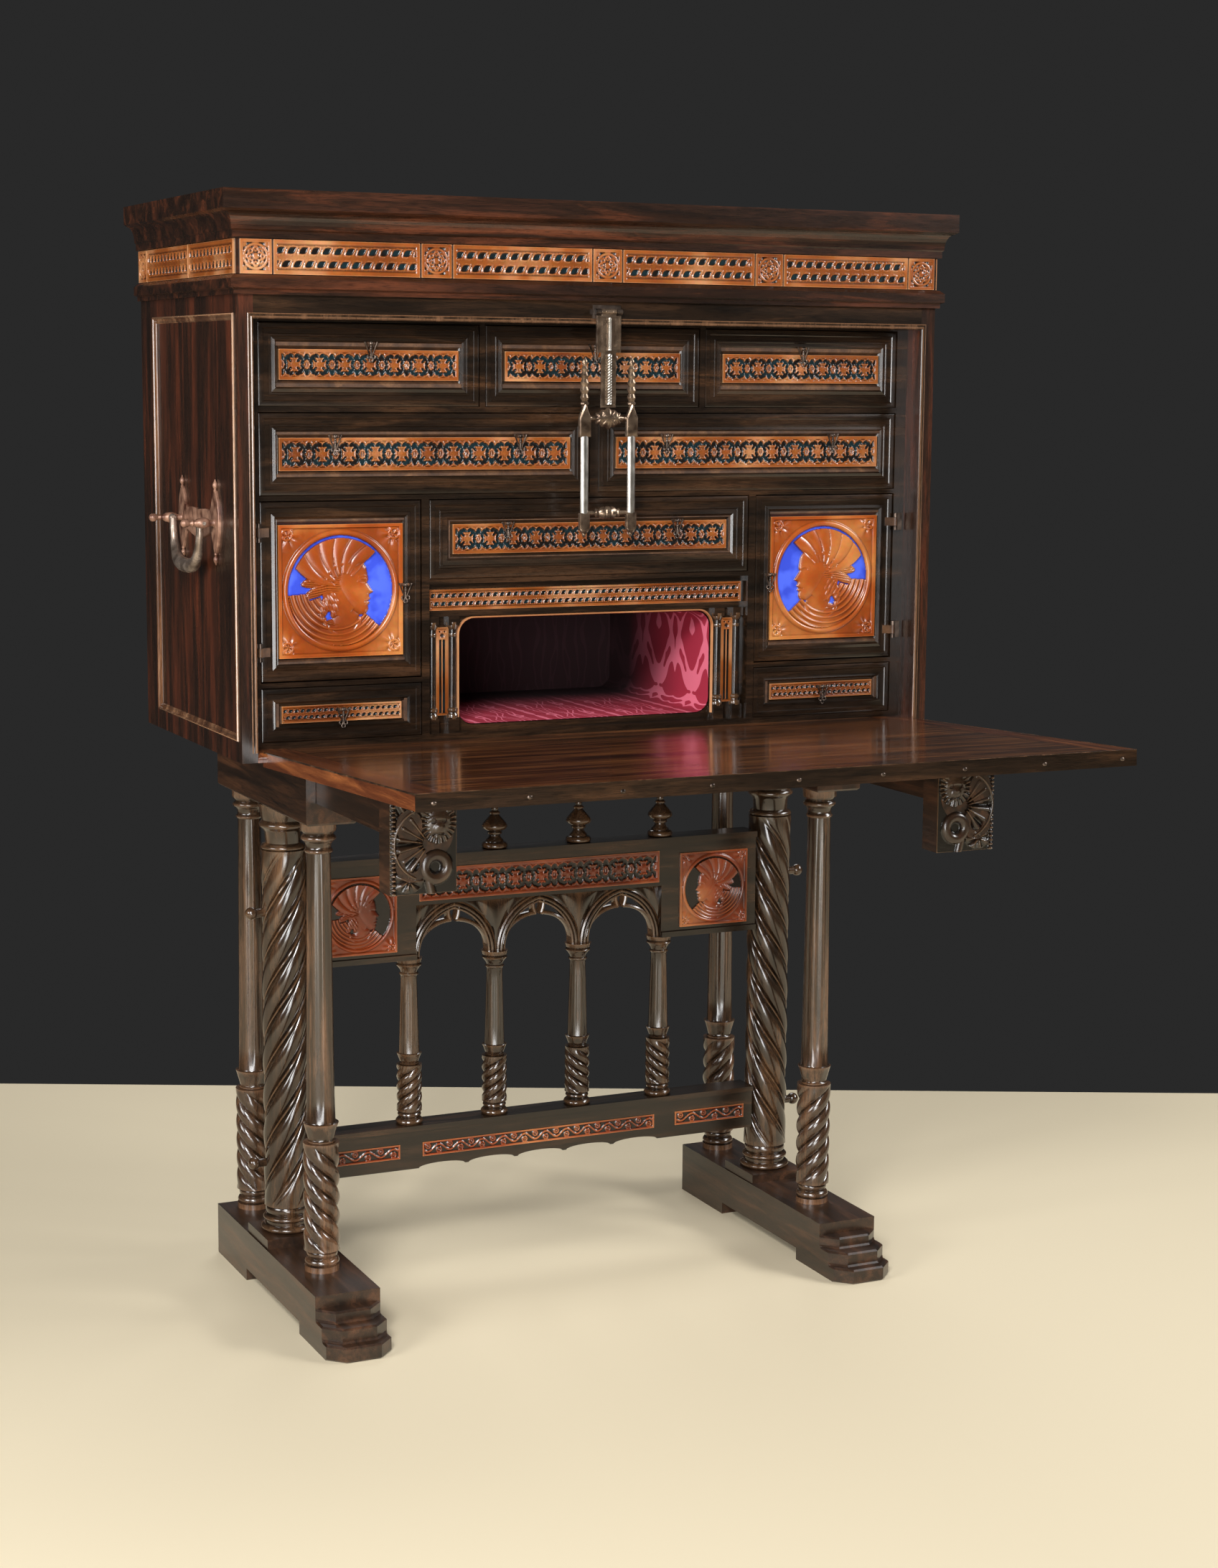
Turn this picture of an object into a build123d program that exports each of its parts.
from build123d import *
import os
from math import cos, radians, sin, tan

os.makedirs("parts", exist_ok=True)

# A fall-front writing chest on its trestle stand. +Z is up, the front faces -Y,
# and the origin is on the floor under the middle of the whole piece, fall open.

# chest walls
carcass_width = 1050
carcass_depth = 460
side_wall = 22
floor_board = 12
top_board = 25
back_board = 14
field_depth = 3
field_front = 18
field_back = 64
field_foot = 30
field_head = 26

# pigeonhole front, heights from the floor board up
frame_recess = 38
frame_depth = 12
stile_width = 17
base_rail = 8.5
low_row = 73.5
low_rail = 6.5
door_row = 242
door_rail = 6.5
wide_row = 110
wide_rail = 7.5
top_row = 110.5
top_rail = 8
centre_drawer_row = 109
centre_rail = 6.5
top_post_x = 167.5
top_post = 8
wide_post = 12
door_post_x = 251
door_post = 11
joint_play = 0.05

# drawers
front_recess = 40
front_board = 16
pocket_depth = 7
pocket_bevel = 4
carving_thick = 3
drawer_depth = 380
drawer_wall = 8
drawer_floor = 6
drawer_drop = 10
side_gap = 1.0
seat_gap = 0.3
head_gap = 1.2

# small drop pulls
pull_pin = 1.1
pull_bore = 1.25
pull_eye = 3.2
pull_eye_length = 5
pull_stand = 4
pull_lug = 2
pull_lug_gap = 0.4
pull_plate = 2
pull_width = 17
pull_length = 25

# doors
door_gap = 1.5
knuckle_radius = 3
knuckle_bore = 1.6
knuckle_pin = 1.5
knuckle_length = 12
knuckle_gap = 0.4
door_hinge_stand = 5.5
door_leaf = 14
door_margin_x = 25
door_margin_z = 30
door_carving = 1.5
door_relief = 3
medallion_ring = 80.5

# niche
niche_half = 195.5
niche_floor = 17
niche_height = 148
niche_depth = 330
niche_recess = 57
surround_thick = 12
surround_corner = 22
niche_wall = 8
lining = 1.5

# fall front and its hinges
fall_gap = 6.5
fall_thick = 20
fall_length = 572
fall_tilt = 2.6
hinge_below_face = 11
nose_gap = 0.5
hinge_x = 250
hinge_knuckle = 8.5
hinge_pin = 2.5
hinge_bore = 2.6
hinge_middle = 30
hinge_end = 12
hinge_running = 0.4
hinge_leaf = 3
hinge_leaf_length = 120
hinge_notch = 15
fixed_leaf_length = 80
head_clear = 4

# mouldings above the carcass
waist_height = 25
waist_reach = 10
waist_step = 4
frieze_height = 46
frieze_wall = 20
frieze_tablet = 2
cornice_height = 61
cornice_reach = 23
cornice_board = 14
tablet = 42
tablet_x = 250
tablet_end = 499
band_height = 44
tablet_gap = 3

# trestles
stand_height = 811
trestle_x = 394
foot_width = 94
foot_height = 76
foot_back = 425
foot_front = 30
foot_arch_front = 40
foot_arch_back = 283
foot_arch = 18
foot_cant = 22
foot_steps = ((0, 22, 96), (22, 42, 78), (42, 58, 52), (58, 76, 30))
big_y = 232
slim_front_y = 78
slim_back_y = 392
step_height = 14
step_length = 92
rail_width = 72
rail_height = 94
rail_front = 22
rail_back = 430

# lopers
loper_width = 44
slot_clear = 0.5
slot_floor = 31
slot_height = 55.5
loper_reach = 300
loper_tail = 110
block_width = 88
block_height = 118
block_thick = 20
block_back = 16
relief = 6

# big twisted columns
big_radius = 33
big_core = 17
big_lobe = 16
big_starts = 5
big_neck = 25
big_base = 38
big_cap = 66
big_turns = 2.1
slim_starts = 4

# slim columns, from the foot up
slim_radius = 24
slim_core = 14
slim_lobe = 10
slim_base = 30
slim_twist = 155
slim_collar = 28
slim_cap = 46
slim_low = 20
slim_top = 17
slim_turns = 1.4

# bridge between the trestles
bridge_thick = 36
bridge_y = 232
bridge_top = 630
band_foot = 556
frame_foot = 476
medallion_x = 287
medallion_frame = 142
medallion = 114
arch_pitch = 136
arch_half = 54
arch_thick = 22
cusp_reach = 14
cusp_height = 55
arch_height = 74
baluster_x = (-204, -68, 68, 204)
baluster_base = 20
baluster_twist = 70
baluster_collar = 17
baluster_cap = 26
baluster_low = 16.5
baluster_top = 12.5
baluster_turns = 1.2
baluster_core = 10
stretcher_top = 226
stretcher_height = 66
stretcher_scallop = 6
scallops = 5
finial_height = 68
finial_radius = 19
peg_radius = 6
peg_reach = 20
peg_heights = (192, 560)
sleeve = 0.5
sleeve_rim = 2
tenon_half = 10
tenon_length = 18
tenon_height = 30
tenon_heights = (178, 540)
carving_inset = 2

# side bail handles
handle_y = 187
handle_z = 1122
handle_half = 78
handle_stand = 17
post_radius = 4.5
post_boss = 7
post_ball = 5.5
post_length = 42
plate_thick = 4
bail_rod = 4.5
bail_pin = 2.5
bail_bore = 2.6
bail_drop = 62
bail_swell = 8.5

# hasp
hasp_pivot_drop = 14
hasp_stand = 7
hasp_knuckle = 4
hasp_pin = 1.5
hasp_bore = 1.6
hasp_half = 18
hasp_plate = 3.5
hasp_plate_length = 50
hasp_strap_half = 11
hasp_strap_length = 74
hasp_boss = 30
hasp_bar_x = 35.5
hasp_bar_width = 14
hasp_bar_thick = 6
hasp_bar_length = 120
hasp_finial = 68
hasp_tip = 22
hasp_end = 11.6
hasp_seat = 20
hasp_seat_thick = 3

# worked-out places
tilt = radians(fall_tilt)
hinge_back = fall_thick - hinge_below_face
fall_heel = hinge_back + nose_gap
fall_reach = fall_length * cos(tilt) + hinge_back * sin(tilt) - hinge_back
front = (fall_reach - carcass_depth) / 2
back = front + carcass_depth
inner = carcass_width / 2 - side_wall
outer = carcass_width / 2
floor_z = stand_height + floor_board
low_z = floor_z + base_rail
door_z = low_z + low_row + low_rail
wide_z = door_z + door_row + door_rail
top_z = wide_z + wide_row + wide_rail
ceiling = top_z + top_row + top_rail
crown = ceiling + top_board
centre_z = wide_z - door_rail - centre_drawer_row
niche_top = centre_z - centre_rail
hinge_y = front + hinge_back
hinge_z = stand_height + floor_board - hinge_back
frame_y = front + frame_recess
frame_back = frame_y + frame_depth
back_face = back - back_board
shoulder = trestle_x - big_radius - sleeve
post_in = door_post_x - door_post / 2
post_out = door_post_x + door_post / 2
head_z = hinge_z + fall_length + head_clear
pane = inner - stile_width


def slab(x, y, z, mode=Mode.ADD):
    """A board between two limits on each axis."""
    with Locations(((x[0] + x[1]) / 2, (y[0] + y[1]) / 2, (z[0] + z[1]) / 2)):
        Box(x[1] - x[0], y[1] - y[0], z[1] - z[0], mode=mode)


def rod_x(radius, x, y, z, mode=Mode.ADD):
    """A round bar along X."""
    with Locations(((x[0] + x[1]) / 2, y, z)):
        Cylinder(radius, x[1] - x[0], rotation=(0, 90, 0), mode=mode)


def rod_y(radius, x, y, z, mode=Mode.ADD):
    """A round bar along Y."""
    with Locations((x, (y[0] + y[1]) / 2, z)):
        Cylinder(radius, y[1] - y[0], rotation=(90, 0, 0), mode=mode)


def rod_z(radius, x, y, z, mode=Mode.ADD):
    """A round bar along Z."""
    with Locations((x, y, (z[0] + z[1]) / 2)):
        Cylinder(radius, z[1] - z[0], mode=mode)


def ball(radius, x, y, z):
    """A ball with its poles on X, the way the bars that meet it run."""
    with Locations((x, y, z)):
        Sphere(radius, rotation=(0, 90, 0))


def save(part, name):
    part.label = name
    export_step(part, "parts/" + name + ".step")


def save_pair(part, name):
    """The left piece as built, and its mirror image on the right."""
    save(part, "left_" + name)
    save(mirror(part, about=Plane.YZ), "right_" + name)


# --- stand ---------------------------------------------------------------

def turned(x, y, points):
    """A turning about a vertical axis, from (radius, height) points."""
    plane = Plane(origin=(x, y, 0), x_dir=(1, 0, 0), z_dir=(0, -1, 0))
    with BuildSketch(plane) as outline:
        with BuildLine():
            low, high = points[0][1], points[-1][1]
            Polyline((0, low), *points, (0, high), close=True)
        make_face()
    revolve(outline.sketch, axis=Axis((x, y, 0), (0, 0, 1)))


def ring(x, y, radius, z, thick):
    """A rounded turned ring, which swells by half its thickness."""
    plane = Plane(origin=(x, y, 0), x_dir=(1, 0, 0), z_dir=(0, -1, 0))
    with BuildSketch(plane) as outline:
        with BuildLine():
            Line((0, z), (radius, z))
            ThreePointArc((radius, z), (radius + thick / 2, z + thick / 2), (radius, z + thick))
            Line((radius, z + thick), (0, z + thick))
            Line((0, z + thick), (0, z))
        make_face()
    revolve(outline.sketch, axis=Axis((x, y, 0), (0, 0, 1)))


def twist(x, y, z, height, core, lobe, turns, starts):
    """A twisted shaft of round lobes about a core."""
    with BuildSketch(Plane.XY.offset(z), mode=Mode.PRIVATE) as section:
        with Locations((x, y)):
            Circle(core)
            with PolarLocations(core, starts):
                Circle(lobe)
    for face in section.sketch.faces():
        shaft = Solid.extrude_linear_with_rotation(
            face.outer_wire(), (x, y, z), (0, 0, height), 360 * turns
        )
        add(shaft)


def octagon(x, y, low, high):
    """A tapering eight-sided length between two (radius, height) ends."""
    with BuildSketch(Plane.XY.offset(low[1])) as bottom:
        with Locations((x, y)):
            RegularPolygon(low[0], 8)
    with BuildSketch(Plane.XY.offset(high[1])) as top:
        with Locations((x, y)):
            RegularPolygon(high[0], 8)
    loft([bottom.sketch, top.sketch])


def tenon(side, height, mode=Mode.ADD):
    """The tongue by which a bridge rail enters a big column."""
    ends = sorted((side * shoulder, side * (shoulder + tenon_length)))
    middle = front + bridge_y
    slab(ends, (middle - tenon_half, middle + tenon_half), (height, height + tenon_height), mode)


def peg(side, height, mode=Mode.ADD):
    """A turned peg driven in from the outside of a big column."""
    ends = sorted((side * (trestle_x + big_core), side * (trestle_x + big_radius + peg_reach)))
    rod_x(peg_radius, ends, front + bridge_y, height, mode)


def big_column(side):
    """Base rings, a thick twisted shaft and a ringed capital."""
    x = side * trestle_x
    y = front + big_y
    low = foot_height + step_height
    high = stand_height - rail_height
    with BuildPart() as column:
        ring(x, y, big_radius, low, big_base / 4)
        ring(x, y, big_radius - 4, low + big_base / 4, big_base / 4)
        ring(x, y, big_radius - 2, low + big_base / 2, big_base / 4)
        turned(x, y, ((big_radius - 4, low + big_base * 3 / 4), (big_neck, low + big_base)))
        shaft = high - big_cap - low - big_base
        twist(x, y, low + big_base, shaft, big_core, big_lobe, -side * big_turns, big_starts)
        ring(x, y, big_radius - 7, high - big_cap, big_cap / 6)
        turned(x, y, ((big_neck, high - big_cap * 5 / 6), (big_neck, high - big_cap * 3 / 5),
                      (big_radius - 3, high - big_cap * 2 / 5)))
        ring(x, y, big_radius - 5, high - big_cap * 2 / 5, big_cap / 5)
        turned(x, y, ((big_radius - 2, high - big_cap / 5), (big_radius + 2, high)))
        for height in tenon_heights:
            rod_z(big_radius + sleeve, x, y, (height - sleeve_rim, height + tenon_height + sleeve_rim))
            tenon(side, height, Mode.SUBTRACT)
        for height in peg_heights:
            peg(side, height, Mode.SUBTRACT)
    return column.part


def slim_column(x, y, side):
    """Turned base, twisted foot, faceted collar and a tapering eight-sided shaft."""
    low = foot_height
    high = stand_height - rail_height
    twist_z = low + slim_base
    collar_z = twist_z + slim_twist
    shaft_z = collar_z + slim_collar
    cap_z = high - slim_cap
    turned(x, y, ((slim_radius, low), (slim_radius, low + slim_base / 3)))
    ring(x, y, slim_radius - 2, low + slim_base / 3, slim_base / 3)
    turned(x, y, ((slim_radius - 3, low + slim_base * 2 / 3), (slim_core + 4, twist_z)))
    twist(x, y, twist_z, slim_twist, slim_core, slim_lobe, side * slim_turns, slim_starts)
    octagon(x, y, (slim_low + 1, collar_z), (slim_radius + 1, shaft_z))
    octagon(x, y, (slim_low + 1, shaft_z), (slim_top + 1, cap_z))
    ring(x, y, slim_top, cap_z, slim_cap / 6)
    turned(x, y, ((slim_top, cap_z + slim_cap / 6), (slim_top, cap_z + slim_cap / 3)))
    ring(x, y, slim_radius - 4, cap_z + slim_cap / 3, slim_cap / 4)
    turned(x, y, ((slim_radius - 3, cap_z + slim_cap * 7 / 12), (slim_radius, cap_z + slim_cap * 3 / 4),
                  (slim_radius, high)))


def foot(side):
    """A sledge foot: arched underneath, with stepped canted mouldings at the nose."""
    x = side * trestle_x
    half = foot_width / 2
    with BuildPart() as block:
        slab((x - half, x + half), (front - foot_front, front + foot_back), (0, foot_height))
        for low, high, reach in foot_steps:
            with BuildSketch(Plane.XY.offset(low)):
                with BuildLine():
                    Polyline(
                        (x - half, front),
                        (x - half, front - reach + foot_cant),
                        (x - half + foot_cant, front - reach),
                        (x + half - foot_cant, front - reach),
                        (x + half, front - reach + foot_cant),
                        (x + half, front),
                        close=True,
                    )
                make_face()
            extrude(amount=high - low)
        arch = (front + foot_arch_front, front + foot_arch_back)
        slab((x - half, x + half), arch, (0, foot_arch), mode=Mode.SUBTRACT)
        step = (front + big_y - step_length / 2, front + big_y + step_length / 2)
        slab((x - half + 2, x + half - 2), step, (foot_height, foot_height + step_height))
        level = [e for e in block.edges() if abs(e.tangent_at(0.5).Z) < 0.1]
        nose = [e for e in level if e.center().Y < front - foot_front - 1]
        chamfer(nose, 2.5)
    return block.part


def trestle_rail(side):
    """The top rail of a trestle, with the slot that a loper slides in."""
    x = side * trestle_x
    half = loper_width / 2 + slot_clear
    low = stand_height - rail_height
    with BuildPart() as rail:
        run = (front + rail_front, front + rail_back)
        slab((x - rail_width / 2, x + rail_width / 2), run, (low, stand_height))
        chamfer(rail.edges().group_by(Axis.Z)[0], 3)
        slot = (low + slot_floor, low + slot_floor + slot_height)
        slab((x - half, x + half), run, slot, mode=Mode.SUBTRACT)
    return rail.part


def loper(side):
    """A sliding bearer with a carved block on its end."""
    x = side * trestle_x
    low = stand_height - rail_height + slot_floor + seat_gap
    high = low - seat_gap + slot_height - slot_clear
    tip = front - loper_reach
    with BuildPart() as bar:
        slab((x - loper_width / 2, x + loper_width / 2), (tip, front + loper_tail), (low, high))
        face = tip - block_thick
        half = block_width / 2
        slab((x - half, x + half), (face, tip + block_back), (high - block_height, high))
        # carved forms: fan, beast mask and scroll
        plane = Plane.XZ.offset(-face)
        with BuildSketch(plane):
            with Locations((x - side * 14, high - block_height / 3)):
                Ellipse(26, 34)
            with Locations((x, high - block_height / 2)):
                Rectangle(block_width, block_height, mode=Mode.INTERSECT)
        extrude(amount=relief / 2)
        with BuildSketch(plane):
            with Locations((x + side * 20, high - 32)):
                Ellipse(17, 21)
        extrude(amount=relief)
        with BuildSketch(plane):
            with Locations((x + side * 16, high - 80)):
                Circle(22)
                Circle(10, mode=Mode.SUBTRACT)
        extrude(amount=relief)
    return bar.part


save_pair(foot(-1), "foot")
save_pair(big_column(-1), "twisted_column")
with BuildPart() as slims:
    for place in (slim_front_y, slim_back_y):
        slim_column(-trestle_x, front + place, -1)
save_pair(slims.part, "slim_columns")
save_pair(trestle_rail(-1), "trestle_rail")
save_pair(loper(-1), "loper")

# --- bridge between the trestles -----------------------------------------

middle = front + bridge_y
rail_y = (middle - bridge_thick / 2, middle + bridge_thick / 2)
post_edge = arch_pitch * 1.5 - 5
carved_ends = (medallion_x - medallion_frame / 2 + 10, medallion_x + medallion_frame / 2 - 13)
face_y = rail_y[0]


def face_plane(y, x=0, z=0):
    """A drawing plane facing the front, at one depth."""
    return Plane(origin=(x, y, z), x_dir=(1, 0, 0), z_dir=(0, -1, 0))


medallion_z = (frame_foot + 14, frame_foot + 14 + medallion)
carvings = (
    ((-post_edge + 5, post_edge - 5), (band_foot + 6, band_foot + 54)),
    ((-post_edge + 9, post_edge - 9), (stretcher_top - 48, stretcher_top - 27)),
    ((carved_ends[0], carved_ends[1]), (stretcher_top - 48, stretcher_top - 27)),
    ((-carved_ends[1], -carved_ends[0]), (stretcher_top - 48, stretcher_top - 27)),
    ((medallion_x - medallion / 2, medallion_x + medallion / 2), medallion_z),
    ((-medallion_x - medallion / 2, -medallion_x + medallion / 2), medallion_z),
)

with BuildPart() as bridge:
    slab((-shoulder, shoulder), rail_y, (band_foot, bridge_top))
    slab((-shoulder, shoulder), (face_y - 4, rail_y[1] + 4), (bridge_top - 9, bridge_top))
    for side in (-1, 1):
        ends = sorted((side * post_edge, side * shoulder))
        slab(ends, rail_y, (frame_foot, bridge_top))
        slab(ends, (face_y - 4, rail_y[1] + 4), (frame_foot, frame_foot + 8))
        tenon(side, tenon_heights[1])
    for x, z in carvings:
        slab(x, (face_y, face_y + carving_inset), z, mode=Mode.SUBTRACT)
save(bridge.part, "bridge_rail")

with BuildPart() as stretcher:
    slab((-shoulder, shoulder), rail_y, (stretcher_top - stretcher_height, stretcher_top))
    slab((-shoulder, shoulder), (face_y - 4, rail_y[1] + 4), (stretcher_top - 8, stretcher_top))
    for side in (-1, 1):
        tenon(side, tenon_heights[0])
    pitch = 2 * post_edge / scallops
    with BuildSketch(face_plane(rail_y[1])):
        with Locations((0, stretcher_top - stretcher_height)):
            with GridLocations(pitch, 1, scallops, 1):
                Ellipse(pitch / 2 - 3, stretcher_scallop)
    extrude(amount=bridge_thick, mode=Mode.SUBTRACT)
    for x, z in carvings:
        slab(x, (face_y, face_y + carving_inset), z, mode=Mode.SUBTRACT)
save(stretcher.part, "bridge_stretcher")

with BuildPart() as bridge_panels:
    for x, z in carvings:
        slab(x, (face_y - 1, face_y + carving_inset), z)
    with BuildSketch(face_plane(face_y - 1)):
        for side in (-1, 1):
            with Locations((side * medallion_x, frame_foot + 14 + medallion / 2)):
                Circle(medallion / 2 - 4)
    extrude(amount=2)
save(bridge_panels.part, "bridge_carvings")


def arch_opening():
    """A pointed opening with a cusp on each side, its foot at the origin."""
    with BuildSketch() as opening:
        with BuildLine():
            for side in (-1, 1):
                tip = (side * cusp_reach, cusp_height - 6)
                knee = (side * arch_half * 0.5, cusp_height * 0.98)
                Line((0, 0), (side * arch_half, 0))
                ThreePointArc((side * arch_half, 0), (side * arch_half * 0.86, cusp_height * 0.62), knee)
                Line(knee, tip)
                ThreePointArc(tip, (side * cusp_reach * 0.9, cusp_height + 6), (0, arch_height))
        make_face()
        with Locations((-arch_half * 0.42, cusp_height + 6), (arch_half * 0.42, cusp_height + 6)):
            Circle(5)
    return opening.sketch


with BuildPart() as arcade:
    slab((-post_edge, post_edge), (middle - arch_thick / 2, middle + arch_thick / 2), (frame_foot, band_foot))
    with BuildSketch(face_plane(middle + arch_thick / 2)):
        with Locations(*((step * arch_pitch, frame_foot) for step in (-1, 0, 1))):
            add(arch_opening())
    extrude(amount=arch_thick, mode=Mode.SUBTRACT)
save(arcade.part, "bridge_arcade")

with BuildPart() as balusters:
    for x in baluster_x:
        turn = 1 if x < 0 else -1
        twist_z = stretcher_top + baluster_base
        collar_z = twist_z + baluster_twist
        shaft_z = collar_z + baluster_collar
        cap_z = frame_foot - baluster_cap
        ring(x, middle, baluster_low + 1, stretcher_top, baluster_base / 2)
        ring(x, middle, baluster_low - 2, stretcher_top + baluster_base / 2, baluster_base / 2)
        turns = turn * baluster_turns
        twist(x, middle, twist_z, baluster_twist, baluster_core, baluster_low / 2, turns, slim_starts)
        octagon(x, middle, (baluster_low - 3, collar_z), (baluster_low + 3, shaft_z))
        octagon(x, middle, (baluster_low, shaft_z), (baluster_top, cap_z))
        ring(x, middle, baluster_top, cap_z, baluster_cap / 4)
        half_cap = cap_z + baluster_cap / 2
        turned(x, middle, ((baluster_top + 1, cap_z + baluster_cap / 4), (baluster_low, half_cap)))
        ring(x, middle, baluster_low, half_cap, baluster_cap / 4)
        turned(x, middle, ((baluster_low + 2, frame_foot - baluster_cap / 4), (baluster_low + 4, frame_foot)))
save(balusters.part, "bridge_balusters")

with BuildPart() as finials:
    for x in baluster_x:
        z = bridge_top
        ring(x, middle, finial_radius - 3, z, 8)
        turned(x, middle, (
            (finial_radius - 5, z + 8), (finial_radius * 0.45, z + 16), (finial_radius * 0.6, z + 24),
            (finial_radius, z + 34), (finial_radius * 0.7, z + 43), (finial_radius * 0.35, z + 47),
        ))
        ring(x, middle, finial_radius * 0.45, z + 47, 6)
        tip = z + finial_height
        turned(x, middle, ((finial_radius * 0.4, z + 53), (finial_radius * 0.5, z + 58), (1, tip)))
save(finials.part, "bridge_finials")

with BuildPart() as pegs:
    for side in (-1, 1):
        for height in peg_heights:
            peg(side, height)
            ball(peg_radius + 3, side * (trestle_x + big_radius + peg_reach - 4), middle, height)
save(pegs.part, "bridge_pegs")

# --- carcass -------------------------------------------------------------

low_cell = ((-pane, -post_out), (low_z, low_z + low_row))
centre_cell = ((-post_in, post_in), (centre_z, centre_z + centre_drawer_row))
wide_cell = ((-pane, -wide_post / 2), (wide_z, wide_z + wide_row))
top_in = top_post_x - top_post / 2
top_out = top_post_x + top_post / 2
top_cell = ((-pane, -top_out), (top_z, top_z + top_row))
middle_top_cell = ((-top_in, top_in), (top_z, top_z + top_row))

with BuildPart() as board:
    slab((-outer, -inner), (front, back), (stand_height, crown))
    depth = (front + field_front, back - field_back)
    field = (stand_height + field_foot, crown - field_head)
    slab((-outer, field_depth - outer), depth, field, mode=Mode.SUBTRACT)
save_pair(board.part, "side")

with BuildPart() as floor:
    slab((-inner, inner), (front, back_face), (stand_height, floor_z))
    fillet(floor.edges().group_by(Axis.Z)[-1].sort_by(Axis.Y)[0], hinge_back)
    for side in (-1, 1):
        notch = hinge_middle / 2 + hinge_running + hinge_end + 1
        x = (side * hinge_x - notch, side * hinge_x + notch)
        slab(x, (front, hinge_y + hinge_notch), (stand_height, floor_z), mode=Mode.SUBTRACT)
save(floor.part, "carcass_floor")

with BuildPart() as top:
    slab((-inner, inner), (front, back), (ceiling, crown))
    slab((-inner, inner), (front, front + side_wall), (head_z, ceiling))
save(top.part, "carcass_top")

with BuildPart() as rear:
    slab((-inner, inner), (back_face, back), (stand_height, ceiling))
save(rear.part, "carcass_back")

# butt-jointed boards: uprights run between rails, with a hair of play at each joint
rails = (
    (-pane, pane, floor_z, low_z),
    (-pane, -post_out, low_z + low_row, door_z),
    (post_out, pane, low_z + low_row, door_z),
    (-post_in, post_in, niche_top, centre_z),
    (-pane, pane, door_z + door_row, wide_z),
    (-pane, pane, wide_z + wide_row, top_z),
    (-pane, pane, top_z + top_row, ceiling),
)
uprights = (
    (-inner, -pane, floor_z, ceiling),
    (pane, inner, floor_z, ceiling),
    (-post_out, -post_in, low_z, door_z + door_row),
    (post_in, post_out, low_z, door_z + door_row),
    (-wide_post / 2, wide_post / 2, wide_z, wide_z + wide_row),
    (-top_out, -top_in, top_z, top_z + top_row),
    (top_in, top_out, top_z, top_z + top_row),
)


def grid_boards(y):
    """The rails and uprights between the openings, at one depth of the chest."""
    for x0, x1, z0, z1 in rails:
        slab((x0 + joint_play, x1 - joint_play), y, (z0, z1))
    for x0, x1, z0, z1 in uprights:
        slab((x0, x1), y, (z0 + joint_play, z1 - joint_play))


with BuildPart() as frame:
    grid_boards((frame_y, frame_back))
save(frame.part, "face_frame")

with BuildPart() as comb:
    grid_boards((frame_back, back_face))
save(comb.part, "partitions")

# niche
surround_y = front + niche_recess
shell_y = surround_y + surround_thick
shell_back = shell_y + niche_depth
sill = floor_z + niche_floor
arch_top = sill + niche_height
jamb = niche_half + niche_wall


def niche_shape(depth, grow):
    """The niche opening with its rounded upper corners, on a plane at one depth."""
    with BuildSketch(face_plane(depth), mode=Mode.PRIVATE) as shape:
        with Locations((0, (sill - grow + arch_top + grow) / 2)):
            Rectangle(2 * (niche_half + grow), niche_height + 2 * grow)
        fillet(shape.vertices().group_by(Axis.Z)[-1], surround_corner + grow)
    return shape.sketch


with BuildPart() as surround:
    slab((-post_in, post_in), (surround_y, shell_y), (low_z, niche_top))
    slab((-jamb, jamb), (shell_y, shell_back + niche_wall), (low_z, arch_top + niche_wall))
    extrude(niche_shape(shell_back, 0), amount=shell_back - surround_y, mode=Mode.SUBTRACT)
    for side in (-1, 1):
        for x in (niche_half + 10, post_in - 10):
            rod_z(6, side * x, surround_y - 1, (sill + 12, arch_top - 8))
            slab((side * x - 8, side * x + 8), (surround_y - 9, surround_y), (low_z, sill + 12))
            slab((side * x - 8, side * x + 8), (surround_y - 9, surround_y), (arch_top - 8, arch_top + 4))
    slab((-post_in, post_in), (surround_y - 6, surround_y), (arch_top + 4, arch_top + 12))
    slab((-post_in + 4, post_in - 4), (surround_y - 3, surround_y), (arch_top + 12, niche_top - 8))
    slab((-post_in, post_in), (surround_y - 8, surround_y), (niche_top - 8, niche_top))
save(surround.part, "niche_surround")

with BuildPart() as fabric:
    extrude(niche_shape(shell_back, 0), amount=shell_back - surround_y - 2)
    extrude(niche_shape(shell_back - lining, -lining), amount=shell_back - surround_y, mode=Mode.SUBTRACT)
save(fabric.part, "niche_lining")

# --- mouldings above the carcass -----------------------------------------


def moulding(profile, void_x, void_y, void_z):
    """A mitred moulding round the front and both ends, from (overhang, height) points."""
    low, high = profile[0][1], profile[-1][1]
    with BuildPart() as run:
        with BuildSketch(Plane.YZ):
            with BuildLine():
                for (a, p), (b, q) in zip(profile, profile[1:]):
                    Line((front - a, p), (front - b, q))
                Line((front - profile[-1][0], high), (back, high))
                Line((back, high), (back, low))
                Line((back, low), (front - profile[0][0], low))
            make_face()
        extrude(amount=carcass_width, both=True)
        with BuildSketch(Plane.XZ):
            with BuildLine():
                for side in (-1, 1):
                    for (a, p), (b, q) in zip(profile, profile[1:]):
                        Line((side * (outer + a), p), (side * (outer + b), q))
                Line((-outer - profile[0][0], low), (outer + profile[0][0], low))
                Line((-outer - profile[-1][0], high), (outer + profile[-1][0], high))
            make_face()
        extrude(amount=2 * carcass_depth, both=True, mode=Mode.INTERSECT)
        slab(void_x, void_y, void_z, mode=Mode.SUBTRACT)
    return run.part


def cove(low, high, steps=6):
    """Points of a hollow curve from one (overhang, height) to another."""
    points = []
    for step in range(steps + 1):
        turn = radians(90 * step / steps)
        points.append((
            low[0] + (high[0] - low[0]) * (1 - cos(turn)),
            low[1] + (high[1] - low[1]) * sin(turn),
        ))
    return points


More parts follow.
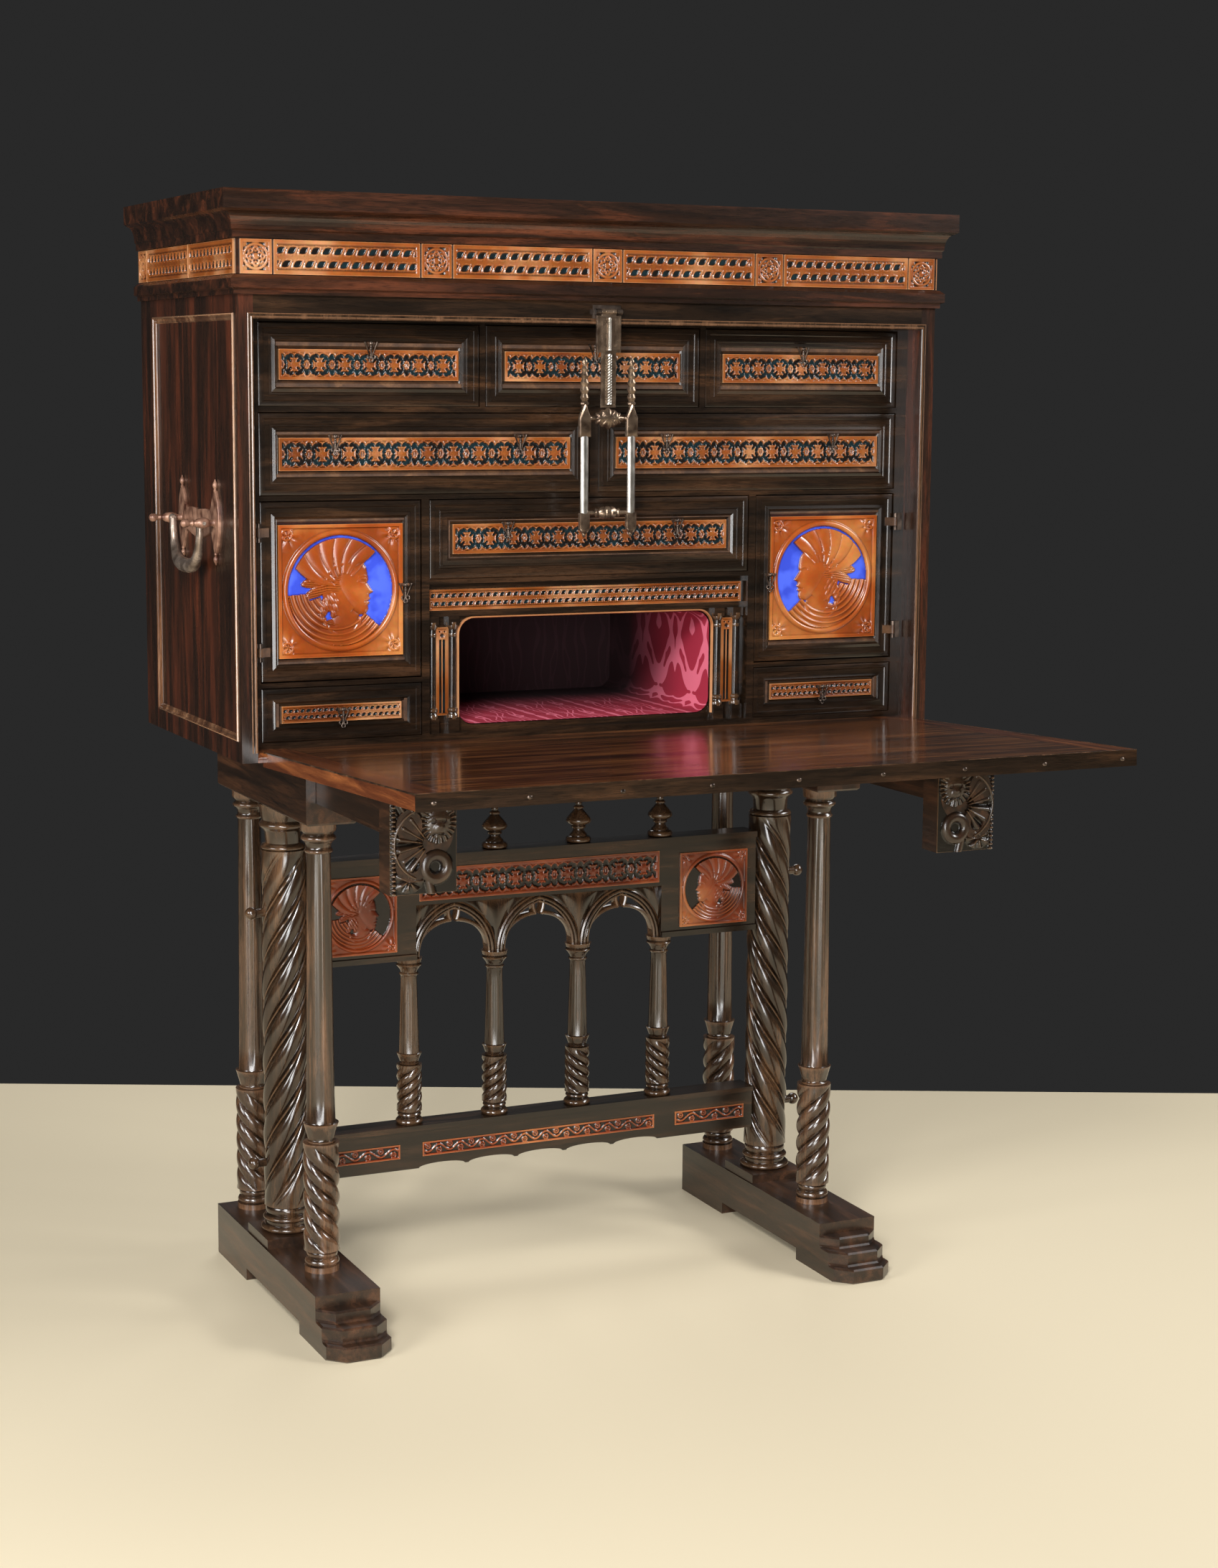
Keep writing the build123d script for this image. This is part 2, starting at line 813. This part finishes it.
frieze_z = crown + waist_height
cornice_z = frieze_z + frieze_height
cornice_top = cornice_z + cornice_height
waist = [(waist_reach / 2, crown), (waist_reach / 2, crown + 6), (waist_reach, crown + 8)]
waist += [(waist_reach, crown + 20), (waist_step, frieze_z)]
inside_x = (-outer + 50, outer - 50)
inside_y = (front + 50, back - 50)
save(moulding(waist, inside_x, inside_y, (crown, frieze_z)), "waist_moulding")

with BuildPart() as band:
    slab((-outer, outer), (front, back), (frieze_z, cornice_z))
    wall_x = (-outer + frieze_wall, outer - frieze_wall)
    wall_y = (front + frieze_wall, back - frieze_wall)
    slab(wall_x, wall_y, (frieze_z, cornice_z), mode=Mode.SUBTRACT)
save(band.part, "frieze")

band_z = (frieze_z + (frieze_height - band_height) / 2, cornice_z - (frieze_height - band_height) / 2)
with BuildPart() as tablets:
    proud = (front - frieze_tablet, front)
    stops = (-tablet_end, -tablet_x, 0, tablet_x, tablet_end)
    for x in stops:
        slab((x - tablet / 2, x + tablet / 2), proud, band_z)
    for a, b in zip(stops, stops[1:]):
        slab((a + tablet / 2 + tablet_gap, b - tablet / 2 - tablet_gap), proud, band_z)
    for side in (-1, 1):
        end = sorted((side * outer, side * (outer + frieze_tablet)))
        rear_square = back - tablet_gap - tablet
        half = (rear_square - front - 2 * tablet_gap) / 2
        slab(end, (rear_square, rear_square + tablet), band_z)
        slab(end, (front + tablet_gap, front + half), band_z)
        slab(end, (front + half + tablet_gap, rear_square - tablet_gap), band_z)
save(tablets.part, "frieze_carvings")

crest = [(6, cornice_z), (6, cornice_z + 9)]
crest += cove((8, cornice_z + 11), (cornice_reach - 5, cornice_z + 33))
crest += [(cornice_reach, cornice_z + 36), (cornice_reach, cornice_top)]
void_z = (cornice_z, cornice_top - cornice_board)
save(moulding(crest, wall_x, wall_y, void_z), "cornice")

# --- fall front ----------------------------------------------------------

open_fall = Plane(origin=(0, hinge_y, hinge_z), x_dir=(1, 0, 0), z_dir=(0, -sin(tilt), -cos(tilt)))
half_fall = inner - fall_gap
under = hinge_back
loper_top = stand_height - rail_height + slot_floor + slot_height - slot_clear
cleat_near = loper_reach + 4
cleat_length = 30
cleat_gap = 1
cleat_foot = (hinge_z + cleat_near * sin(tilt) - loper_top - cleat_gap) / cos(tilt)
lock_half = 45
lock_y = (430, 545)
lock_thick = 2
leaf_half = hinge_middle / 2

with BuildPart(open_fall) as fall:
    slab((-half_fall, half_fall), (fall_heel, fall_length), (-hinge_below_face, under))
    for side in (-1, 1):
        x = side * trestle_x
        cleat = (cleat_near, cleat_near + cleat_length)
        slab((x - loper_width / 2, x + loper_width / 2), cleat, (under, cleat_foot))
        x = side * hinge_x
        leaf = (fall_heel, hinge_leaf_length)
        slab((x - leaf_half, x + leaf_half), leaf, (under - hinge_leaf, under), mode=Mode.SUBTRACT)
    slab((-lock_half, lock_half), lock_y, (under - lock_thick, under), mode=Mode.SUBTRACT)
save(fall.part, "fall_front")

with BuildPart(open_fall) as ironwork:
    slab((-lock_half, lock_half), lock_y, (under - lock_thick, under))
    for side in (-1, 1):
        x = (side * hinge_x - leaf_half, side * hinge_x + leaf_half)
        slab(x, (0, hinge_leaf_length), (under - hinge_leaf, under))
        rod_x(hinge_knuckle, x, 0, 0)
        rod_x(hinge_bore, x, 0, 0, mode=Mode.SUBTRACT)
save(ironwork.part, "fall_ironwork")

# --- hasp ----------------------------------------------------------------

hasp_z = crown - hasp_pivot_drop
hasp_y = front - hasp_stand
bar_y = (hasp_y - hasp_bar_thick / 2, hasp_y + hasp_bar_thick / 2)
strap_y = (hasp_y - hasp_plate / 2, hasp_y + hasp_plate / 2)
plate_top = hasp_z - hasp_knuckle - 1
plate_low = plate_top - hasp_plate_length
boss_z = plate_low - hasp_strap_length - hasp_boss / 2
bar_top = boss_z + hasp_boss / 2
bar_low = bar_top - hasp_boss - hasp_bar_length

with BuildPart() as hasp:
    rod_x(hasp_knuckle, (-hasp_end, hasp_end), hasp_y, hasp_z)
    slab((-hasp_end, hasp_end), strap_y, (plate_top - 2, hasp_z))
    slab((-hasp_half, hasp_half), strap_y, (plate_low, plate_top))
    slab((-hasp_strap_half, hasp_strap_half), strap_y, (boss_z, plate_low))
    rod_x(hasp_bore, (-hasp_end, hasp_end), hasp_y, hasp_z, mode=Mode.SUBTRACT)
    with BuildSketch(face_plane(strap_y[1])):
        with Locations((0, boss_z)):
            Circle(hasp_boss / 2)
        with Locations((-hasp_boss * 0.6, boss_z), (hasp_boss * 0.6, boss_z)):
            Circle(hasp_boss * 0.42)
    extrude(amount=hasp_plate + 2)
    for side in (-1, 1):
        x = side * hasp_bar_x
        bar_x = (x - hasp_bar_width / 2, x + hasp_bar_width / 2)
        slab(bar_x, bar_y, (bar_low, bar_top))
        slab((x - 8.5, x + 8.5), (bar_y[0] - 1, bar_y[1] + 1), (bar_top - hasp_boss * 1.2, bar_top))
        slab((x - 8.5, x + 8.5), (bar_y[0] - 1, bar_y[1] + 1), (bar_low - 4, bar_low + 16))
        turned(x, hasp_y, ((6, bar_top), (3, bar_top + 8), (5, bar_top + 24), (2.5, bar_top + 46),
                           (3.5, bar_top + 54), (1, bar_top + hasp_finial)))
        tip = bar_low - 4 - hasp_tip
        turned(x, hasp_y, ((1, tip), (4, bar_low - 12), (3, bar_low - 8), (6, bar_low - 4)))
    slab((-hasp_bar_x, hasp_bar_x), strap_y, (bar_low + 2, bar_low + 10))
    ball(6.5, 0, hasp_y, bar_low + 6)
save(hasp.part, "hasp")

# --- fixed ironwork ------------------------------------------------------

door_axis_x = pane + door_gap
door_hinge_y = front + front_recess - door_hinge_stand
door_low = door_z + door_gap
door_high = door_z + door_row - door_gap
door_hinge_z = (door_low + 40, door_high - 40)
half_knuckle = knuckle_length / 2

with BuildPart() as fittings:
    for side in (-1, 1):
        # fall hinges: two end knuckles on a leaf let in under the floor
        x = side * hinge_x
        start = leaf_half + hinge_running
        end = start + hinge_end
        leaf_z = (stand_height - hinge_leaf, stand_height)
        slab((x - end, x + end), (hinge_y + hinge_knuckle + 1, front + fixed_leaf_length), leaf_z)
        for a, b in ((x - end, x - start), (x + start, x + end)):
            slab((a, b), (hinge_y, hinge_y + hinge_knuckle + 1), leaf_z)
            rod_x(hinge_knuckle, (a, b), hinge_y, hinge_z)
        rod_x(hinge_pin, (x - end, x + end), hinge_y, hinge_z)
        # door hinges on the stiles
        x = side * door_axis_x
        leaf_x = sorted((x, side * (door_axis_x + 12)))
        for z in door_hinge_z:
            reach = 2 * half_knuckle + knuckle_gap
            ends = (z - reach, z + reach)
            clear = side * (knuckle_radius + knuckle_gap)
            plate_x = sorted((x + clear, side * (door_axis_x + 12)))
            slab(plate_x, (frame_y - 2, frame_y), ends)
            for a, b in ((ends[0], ends[0] + half_knuckle), (ends[1] - half_knuckle, ends[1])):
                rod_z(knuckle_radius, x, door_hinge_y, (a, b))
                slab(leaf_x, (frame_y - 2, frame_y), (a, b))
                slab(sorted((x, side * (door_axis_x + knuckle_radius))), (door_hinge_y, frame_y), (a, b))
            rod_z(knuckle_pin, x, door_hinge_y, ends)
    # hasp hinge on the head rail
    slab((-hasp_seat, hasp_seat), (front - hasp_seat_thick, front), (hasp_z - 9, hasp_z + 9))
    for a, b in ((-hasp_seat, -hasp_end - knuckle_gap), (hasp_end + knuckle_gap, hasp_seat)):
        rod_x(hasp_knuckle, (a, b), hasp_y, hasp_z)
        slab((a, b), (hasp_y, front - hasp_seat_thick), (hasp_z - 2, hasp_z + 2))
    rod_x(hasp_pin, (-hasp_seat, hasp_seat), hasp_y, hasp_z)
save(fittings.part, "front_ironwork")

# --- side handles --------------------------------------------------------

handle_x = outer + handle_stand
plate_seat = outer - field_depth
posts_y = (front + handle_y - handle_half, front + handle_y + handle_half)

with BuildPart() as plates:
    for side in (-1, 1):
        seat = (side * plate_seat, front + handle_y, handle_z)
        face = Plane(origin=seat, x_dir=(0, side, 0), z_dir=(side, 0, 0))
        with BuildSketch(face):
            Rectangle(2 * handle_half - 8, 34)
            with Locations((-handle_half, 0), (handle_half, 0)):
                Ellipse(19, 44)
            with Locations((0, -12)):
                Ellipse(30, 22)
        extrude(amount=plate_thick)
        for y in posts_y:
            rod_x(post_radius, sorted((side * plate_seat, side * (outer + post_length))), y, handle_z)
            ball(post_boss, side * handle_x, y, handle_z)
            ball(post_ball, side * (outer + post_length), y, handle_z)
            rod_y(bail_bore, side * handle_x, (y - 10, y + 10), handle_z, mode=Mode.SUBTRACT)
save(plates.part, "handle_plates")

arm = handle_half - post_boss - bail_rod - 0.5
bail_y = front + handle_y
bail_low = handle_z - bail_drop
with BuildPart() as bail:
    for end in (-1, 1):
        arm_y = bail_y + end * arm
        tip = bail_y + end * (handle_half + post_boss + 1.5)
        rod_y(bail_pin, -handle_x, sorted((arm_y, tip)), handle_z)
        rod_z(bail_rod, -handle_x, arm_y, (bail_low, handle_z))
        with Locations((-handle_x, arm_y, handle_z), (-handle_x, arm_y, bail_low)):
            Sphere(bail_rod)
    rod_y(bail_rod, -handle_x, (bail_y - arm, bail_y + arm), bail_low)
    grip = Plane(origin=(-handle_x, bail_y, bail_low), x_dir=(0, 1, 0), z_dir=(1, 0, 0))
    with BuildSketch(grip):
        with BuildLine():
            Line((-arm * 0.62, 0), (arm * 0.62, 0))
            ThreePointArc((arm * 0.62, 0), (0, bail_swell), (-arm * 0.62, 0))
        make_face()
    revolve(axis=Axis((-handle_x, bail_y, bail_low), (0, 1, 0)))
save_pair(bail.part, "bail")

# --- drawers, doors and their pulls --------------------------------------

face_line = front + front_recess
pivot_y = face_line - pull_stand


def pull_mounts(places):
    """Lugs and pins that small pulls hang from."""
    start = pull_eye_length / 2 + pull_lug_gap
    end = start + pull_lug
    for x, z in places:
        for a, b in ((x - end, x - start), (x + start, x + end)):
            slab((a, b), (pivot_y, face_line + pocket_depth), (z - 2.2, z + 2.2))
            rod_x(2.2, (a, b), pivot_y, z)
        rod_x(pull_pin, (x - end, x + end), pivot_y, z)


def pull(x, z):
    """A small forked drop that swings on its pin."""
    half = pull_eye_length / 2
    foot_half = pull_width / 2
    with BuildPart() as drop:
        rod_x(pull_eye, (x - half, x + half), pivot_y, z)
        with BuildSketch(face_plane(pivot_y + pull_plate / 2, x, z)):
            Polygon((1 - half, 0), (half - 1, 0), (foot_half, 3 - pull_length), (foot_half - 3, -pull_length),
                    (3 - foot_half, -pull_length), (-foot_half, 3 - pull_length), align=None)
            Polygon((0, -8), (foot_half - 3, 6 - pull_length), (3 - foot_half, 6 - pull_length),
                    align=None, mode=Mode.SUBTRACT)
        extrude(amount=pull_plate)
        rod_x(pull_bore, (x - foot_half, x + foot_half), pivot_y, z, mode=Mode.SUBTRACT)
    return drop.part


def carved_front(x, z, board, margin_x, margin_z, carving):
    """A front board whose frame slopes in to a sunk carved panel."""
    wide = x[1] - x[0] - 2 * margin_x
    tall = z[1] - z[0] - 2 * margin_z
    slab(x, (face_line, face_line + board), z)
    place = face_plane(face_line, (x[0] + x[1]) / 2, (z[0] + z[1]) / 2)
    with BuildSketch(place) as mouth:
        Rectangle(wide + 2 * pocket_bevel, tall + 2 * pocket_bevel)
    with BuildSketch(place.offset(-pocket_depth)) as bed:
        Rectangle(wide, tall)
    loft([mouth.sketch, bed.sketch], mode=Mode.SUBTRACT)
    deep = face_line + pocket_depth
    middle_x, middle_z = (x[0] + x[1]) / 2, (z[0] + z[1]) / 2
    slab((middle_x - wide / 2 + 1, middle_x + wide / 2 - 1), (deep - carving, deep),
         (middle_z - tall / 2 + 1, middle_z + tall / 2 - 1))


def drawer(cell, margin_x, margin_z, places):
    """A drawer for one opening, with the lugs its pulls hang from."""
    x = (cell[0][0] + side_gap, cell[0][1] - side_gap)
    z = (cell[1][0] + seat_gap, cell[1][1] - head_gap)
    with BuildPart() as box:
        carved_front(x, z, front_board, margin_x, margin_z, carving_thick)
        body = (face_line + front_board, face_line + drawer_depth)
        slab(x, body, (z[0], z[1] - drawer_drop))
        slab((x[0] + drawer_wall, x[1] - drawer_wall), (body[0], body[1] - drawer_wall),
             (z[0] + drawer_floor, z[1] - drawer_drop), mode=Mode.SUBTRACT)
        pull_mounts(places)
    return box.part


def pull_place(cell, shift, height):
    """The pivot of a pull, from the middle of its opening."""
    return ((cell[0][0] + cell[0][1]) / 2 + shift, (cell[1][0] + cell[1][1]) / 2 + height)


place = pull_place(top_cell, 0, 28)
save_pair(drawer(top_cell, 29, 34, [place]), "top_drawer")
save_pair(pull(*place), "top_pull")

place = pull_place(middle_top_cell, 0, 28)
save(drawer(middle_top_cell, 29, 34, [place]), "middle_top_drawer")
save(pull(*place), "middle_top_pull")

places = [pull_place(wide_cell, shift, 23) for shift in (-134, 134)]
save_pair(drawer(wide_cell, 28, 32, places), "wide_drawer")
save_pair(pull(*places[0]), "wide_outer_pull")
save_pair(pull(*places[1]), "wide_inner_pull")

places = [pull_place(centre_cell, shift, 20) for shift in (-130, 130)]
save(drawer(centre_cell, 34, 33, places), "centre_drawer")
save_pair(pull(*places[0]), "centre_pull")

place = pull_place(low_cell, 0, 4)
save_pair(drawer(low_cell, 28, 24, [place]), "low_drawer")
save_pair(pull(*place), "low_pull")

door_x = (door_gap - pane, -post_out - door_gap)
door_middle = ((door_x[0] + door_x[1]) / 2, (door_low + door_high) / 2)
place = (door_x[1] - 23, door_middle[1] + 6)
with BuildPart() as leaf:
    carved_front(door_x, (door_low, door_high), door_leaf, door_margin_x, door_margin_z, door_carving)
    with BuildSketch(face_plane(face_line + pocket_depth - door_carving, *door_middle)):
        Circle(medallion_ring)
        Circle(medallion_ring - 3, mode=Mode.SUBTRACT)
        Ellipse(medallion_ring * 0.3, medallion_ring * 0.4)
    extrude(amount=door_relief)
    for z in door_hinge_z:
        wing = (z - half_knuckle, z + half_knuckle)
        slab((door_x[0], door_x[0] + 12), (face_line - 2, face_line), wing)
        slab((door_x[0], door_x[0] + knuckle_radius), (door_hinge_y, face_line), wing)
        slab((-door_axis_x, door_x[0]), (door_hinge_y, frame_y - knuckle_gap), wing)
        rod_z(knuckle_radius, -door_axis_x, door_hinge_y, wing)
        rod_z(knuckle_bore, -door_axis_x, door_hinge_y, wing, mode=Mode.SUBTRACT)
    pull_mounts([place])
save_pair(leaf.part, "door")
save_pair(pull(*place), "door_pull")
